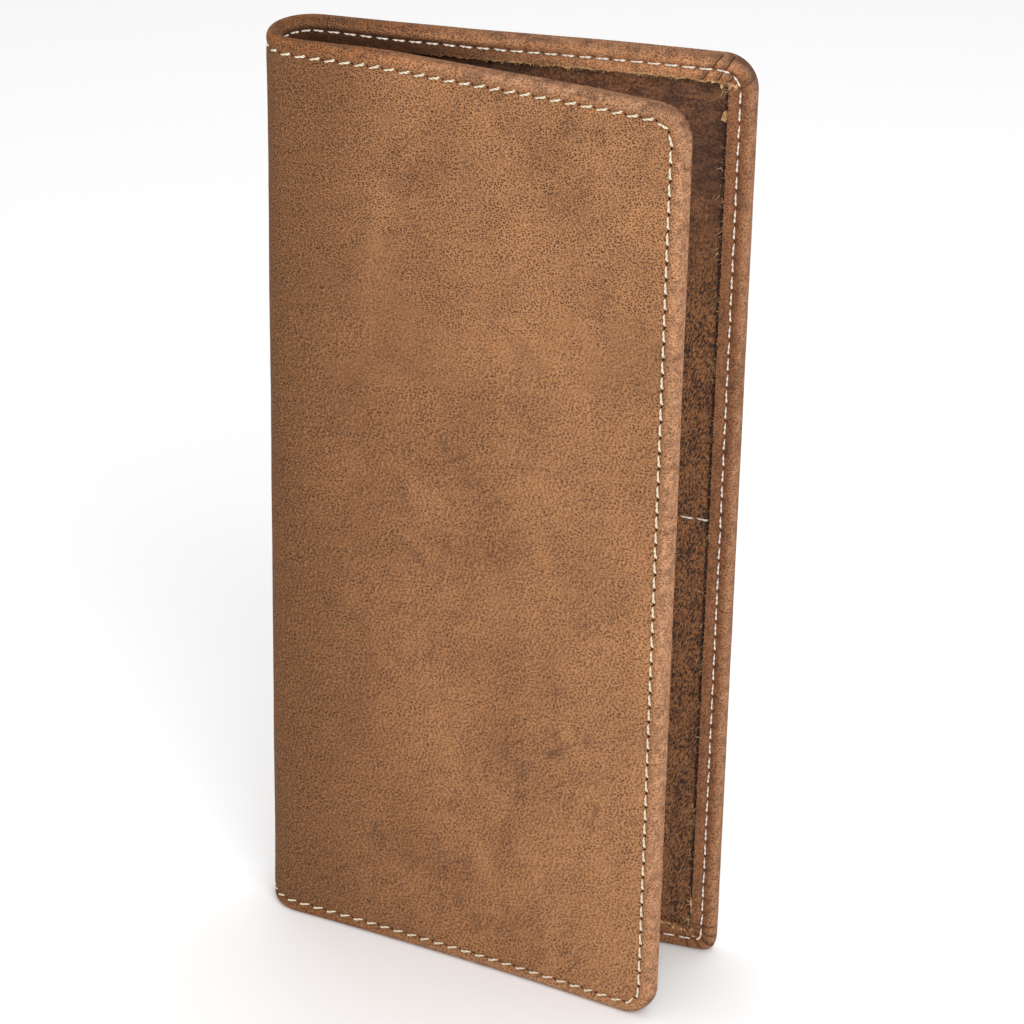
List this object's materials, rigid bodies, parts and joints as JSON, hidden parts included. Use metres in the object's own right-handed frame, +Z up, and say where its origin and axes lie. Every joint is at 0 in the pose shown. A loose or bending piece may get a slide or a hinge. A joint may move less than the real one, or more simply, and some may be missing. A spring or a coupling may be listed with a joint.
{
  "type": "bifold wallet",
  "caption": "Tall leather bifold wallet standing part open, with turned stitched edges, card pockets inside one half and a long slip pocket in the other.",
  "frame": {"origin": "middle of the base, on the surface the wallet stands on", "axes": "+Z up along the fold, +X from the fold to the free edges, -Y towards the front cover"},
  "size_m": [0.0898, 0.0318, 0.1852],
  "materials": {
    "outer_leather": "nubuck with dark open pores, matt",
    "pocket_leather": "pull-up leather, mottled, satin",
    "lining": "plain woven lining",
    "thread": "waxed cream thread"
  },
  "bodies": {
    "back": {"back_cover": "outer_leather", "back_lining": "lining", "back_inner_wall": "lining", "card_pocket_1": "pocket_leather", "card_pocket_2": "pocket_leather", "card_pocket_3": "pocket_leather", "card_divider_thread": "thread", "back_seam_thread": "thread", "back_hem_thread": "thread"},
    "spine": {"spine_cover": "outer_leather", "spine_lining": "lining", "spine_top_seam_thread": "thread", "spine_top_hem_thread": "thread", "spine_bottom_seam_thread": "thread", "spine_bottom_hem_thread": "thread"},
    "front": {"front_cover": "outer_leather", "front_lining": "lining", "front_inner_wall": "lining", "slip_pocket": "pocket_leather", "front_seam_thread": "thread", "front_hem_thread": "thread"}
  },
  "joints": [
    {"name": "back_fold", "type": "hinge", "parent": "back", "child": "spine", "pos_m": [-0.04249, 0.00764, 0.092], "axis": [0, 0, -1], "range_deg": [-7.7, 82]},
    {"name": "front_fold", "type": "hinge", "parent": "spine", "child": "front", "pos_m": [-0.04249, -0.00286, 0.092], "axis": [0, 0, -1], "range_deg": [-7.7, 82]}
  ],
  "couplings": [
    {"joint": "front_fold", "follows": "back_fold", "ratio": 1}
  ]
}
